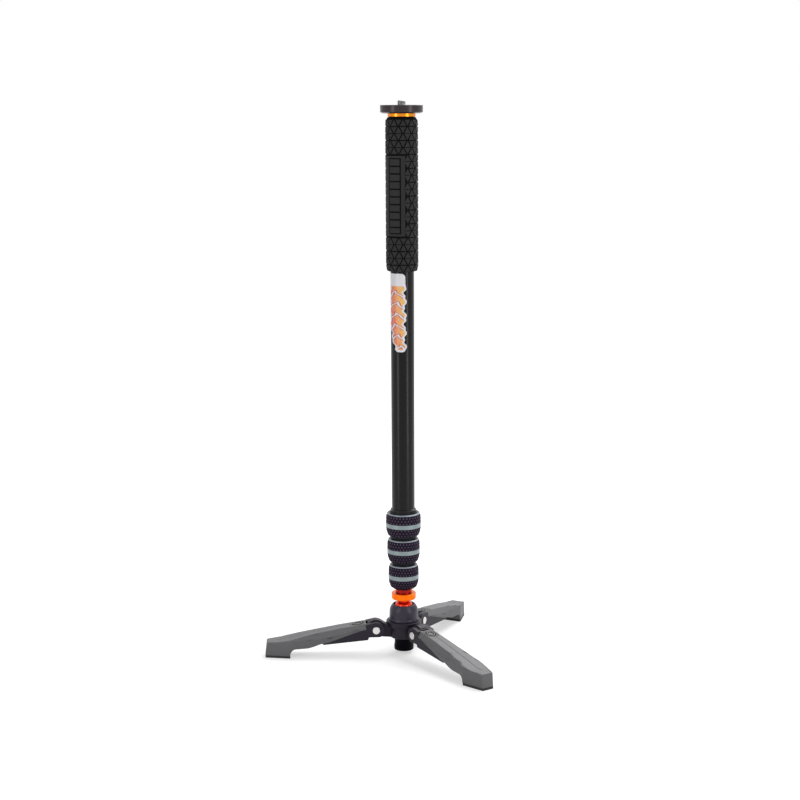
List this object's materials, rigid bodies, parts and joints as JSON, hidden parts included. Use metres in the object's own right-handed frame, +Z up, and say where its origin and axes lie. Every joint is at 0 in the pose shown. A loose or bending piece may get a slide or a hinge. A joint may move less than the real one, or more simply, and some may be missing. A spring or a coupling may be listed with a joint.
{
  "type": "camera monopod",
  "caption": "Telescoping camera monopod with twist locks, a foam-style grip and a camera stud, standing on a tilting ball joint with small folding legs.",
  "frame": {"origin": "point of the floor under the column's axis, with the legs open", "axes": "+Z up along the column, +X to the right of the picture's view, +Y away from its camera"},
  "size_m": [0.2836, 0.3129, 0.6942],
  "materials": {
    "anodised_black": "satin black anodised",
    "anodised_orange": "satin orange anodised",
    "anodised_slate": "satin slate anodised",
    "grip_rubber": "matte, moulded relief",
    "band_rubber": "matte, moulded relief",
    "leg_grey": "fine grain",
    "core_black": "black coated",
    "steel": "turned",
    "sole_rubber": "matte",
    "nylon": "natural",
    "spring_steel": "plain"
  },
  "bodies": {
    "base": {"base_hub": "anodised_black", "base_barrel": "anodised_black", "barrel_cap": "sole_rubber", "seat_springs": "spring_steel"},
    "tilt_collar": {"tilt_collar": "anodised_black", "upper_seat": "nylon"},
    "ball_pan": {"lower_seat": "nylon"},
    "ball": {"tilt_ball": "anodised_orange", "stem_stud": "steel"},
    "lock_ring": {"lock_ring": "anodised_orange"},
    "column_foot": {"foot_socket": "anodised_orange", "tube_4": "anodised_black", "tube_4_guides": "nylon"},
    "lower_section": {"tube_3": "anodised_black", "tube_3_guides": "nylon", "lock_3_ferrule": "anodised_black"},
    "middle_section": {"tube_2": "anodised_black", "tube_2_guides": "nylon", "lock_2_ferrule": "anodised_black"},
    "upper_section": {"tube_1": "anodised_black", "lock_1_ferrule": "anodised_black", "hand_grip": "grip_rubber", "top_plug": "anodised_black", "plate_collar": "anodised_orange", "top_plate": "anodised_black", "camera_screw": "steel"},
    "lock_1_collet": {"lock_1_collet": "nylon"},
    "lock_1_nut": {"lock_1_nut": "anodised_slate", "lock_1_grip": "band_rubber"},
    "lock_2_collet": {"lock_2_collet": "nylon"},
    "lock_2_nut": {"lock_2_nut": "anodised_slate", "lock_2_grip": "band_rubber"},
    "lock_3_collet": {"lock_3_collet": "nylon"},
    "lock_3_nut": {"lock_3_nut": "anodised_slate", "lock_3_grip": "band_rubber"},
    "left_leg": {"left_leg_core": "core_black", "left_leg_cover": "leg_grey", "left_foot_pad": "sole_rubber", "left_hinge_pin": "steel", "left_hinge_nut": "steel", "left_pawl_spring": "spring_steel"},
    "left_button": {"left_release_button": "leg_grey"},
    "left_pawl": {"left_lock_pawl": "core_black"},
    "front_leg": {"front_leg_core": "core_black", "front_leg_cover": "leg_grey", "front_foot_pad": "sole_rubber", "front_hinge_pin": "steel", "front_hinge_nut": "steel", "front_pawl_spring": "spring_steel"},
    "front_button": {"front_release_button": "leg_grey"},
    "front_pawl": {"front_lock_pawl": "core_black"},
    "back_leg": {"back_leg_core": "core_black", "back_leg_cover": "leg_grey", "back_foot_pad": "sole_rubber", "back_hinge_pin": "steel", "back_hinge_nut": "steel", "back_pawl_spring": "spring_steel"},
    "back_button": {"back_release_button": "leg_grey"},
    "back_pawl": {"back_lock_pawl": "core_black"}
  },
  "joints": [
    {"name": "tilt_collar_turn", "type": "hinge", "parent": "base", "child": "tilt_collar", "pos_m": [0, 0, 0.0565], "axis": [0, 0, 1], "range_deg": [0, 90]},
    {"name": "tilt_direction", "type": "hinge", "parent": "base", "child": "ball_pan", "pos_m": [0, 0, 0.0565], "axis": [0, 0, 1], "continuous": true},
    {"name": "column_tilt", "type": "hinge", "parent": "ball_pan", "child": "ball", "pos_m": [0, 0, 0.0565], "axis": [1, 0, 0], "range_deg": [-15, 15]},
    {"name": "pan_lock_turn", "type": "hinge", "parent": "ball", "child": "lock_ring", "pos_m": [0, 0, 0.0745], "axis": [0, 0, 1], "range_deg": [0, 90]},
    {"name": "column_pan", "type": "hinge", "parent": "ball", "child": "column_foot", "pos_m": [0, 0, 0.078], "axis": [0, 0, 1], "continuous": true},
    {"name": "lower_extension", "type": "slide", "parent": "column_foot", "child": "lower_section", "axis": [0, 0, 1], "range_m": [0, 0.49]},
    {"name": "middle_extension", "type": "slide", "parent": "lower_section", "child": "middle_section", "axis": [0, 0, 1], "range_m": [0, 0.465]},
    {"name": "upper_extension", "type": "slide", "parent": "middle_section", "child": "upper_section", "axis": [0, 0, 1], "range_m": [0, 0.435]},
    {"name": "lock_1_travel", "type": "slide", "parent": "upper_section", "child": "lock_1_collet", "axis": [0, 0, -1], "range_m": [0, 0.000667]},
    {"name": "lock_1_turn", "type": "hinge", "parent": "lock_1_collet", "child": "lock_1_nut", "pos_m": [0, 0, 0.1677], "axis": [0, 0, -1], "range_deg": [0, 120]},
    {"name": "lock_2_travel", "type": "slide", "parent": "middle_section", "child": "lock_2_collet", "axis": [0, 0, -1], "range_m": [0, 0.000667]},
    {"name": "lock_2_turn", "type": "hinge", "parent": "lock_2_collet", "child": "lock_2_nut", "pos_m": [0, 0, 0.134], "axis": [0, 0, -1], "range_deg": [0, 120]},
    {"name": "lock_3_travel", "type": "slide", "parent": "lower_section", "child": "lock_3_collet", "axis": [0, 0, -1], "range_m": [0, 0.000667]},
    {"name": "lock_3_turn", "type": "hinge", "parent": "lock_3_collet", "child": "lock_3_nut", "pos_m": [0, 0, 0.1003], "axis": [0, 0, -1], "range_deg": [0, 120]},
    {"name": "left_leg_fold", "type": "hinge", "parent": "base", "child": "left_leg", "pos_m": [-0.03588, -0.00289, 0.0325], "axis": [0.0802, -0.9968, 0], "range_deg": [0, 80]},
    {"name": "left_button_press", "type": "slide", "parent": "left_leg", "child": "left_button", "axis": [0.1576, 0.0127, -0.9874], "range_m": [0, 0.002], "stiffness_N_per_m": 500, "springref_m": -0.002},
    {"name": "left_pawl_slide", "type": "slide", "parent": "left_leg", "child": "left_pawl", "axis": [-0.9842, -0.0792, -0.1582], "range_m": [0, 0.002], "deforming": ["left_pawl_spring"]},
    {"name": "front_leg_fold", "type": "hinge", "parent": "base", "child": "front_leg", "pos_m": [0.02044, -0.02963, 0.0325], "axis": [0.8231, 0.5678, 0], "range_deg": [0, 80]},
    {"name": "front_button_press", "type": "slide", "parent": "front_leg", "child": "front_button", "axis": [-0.0898, 0.1302, -0.9874], "range_m": [0, 0.002], "stiffness_N_per_m": 500, "springref_m": -0.002},
    {"name": "front_pawl_slide", "type": "slide", "parent": "front_leg", "child": "front_pawl", "axis": [0.5607, -0.8128, -0.1582], "range_m": [0, 0.002], "deforming": ["front_pawl_spring"]},
    {"name": "back_leg_fold", "type": "hinge", "parent": "base", "child": "back_leg", "pos_m": [0.01544, 0.03252, 0.0325], "axis": [-0.9033, 0.4289, 0], "range_deg": [0, 80]},
    {"name": "back_button_press", "type": "slide", "parent": "back_leg", "child": "back_button", "axis": [-0.0678, -0.1429, -0.9874], "range_m": [0, 0.002], "stiffness_N_per_m": 500, "springref_m": -0.002},
    {"name": "back_pawl_slide", "type": "slide", "parent": "back_leg", "child": "back_pawl", "axis": [0.4235, 0.892, -0.1582], "range_m": [0, 0.002], "deforming": ["back_pawl_spring"]}
  ],
  "couplings": [
    {"joint": "lock_1_travel", "follows": "lock_1_turn", "m_per_rad": 0.00031831},
    {"joint": "lock_2_travel", "follows": "lock_2_turn", "m_per_rad": 0.00031831},
    {"joint": "lock_3_travel", "follows": "lock_3_turn", "m_per_rad": 0.00031831},
    {"joint": "left_pawl_slide", "follows": "left_button_press", "ratio": 1},
    {"joint": "front_pawl_slide", "follows": "front_button_press", "ratio": 1},
    {"joint": "back_pawl_slide", "follows": "back_button_press", "ratio": 1}
  ]
}
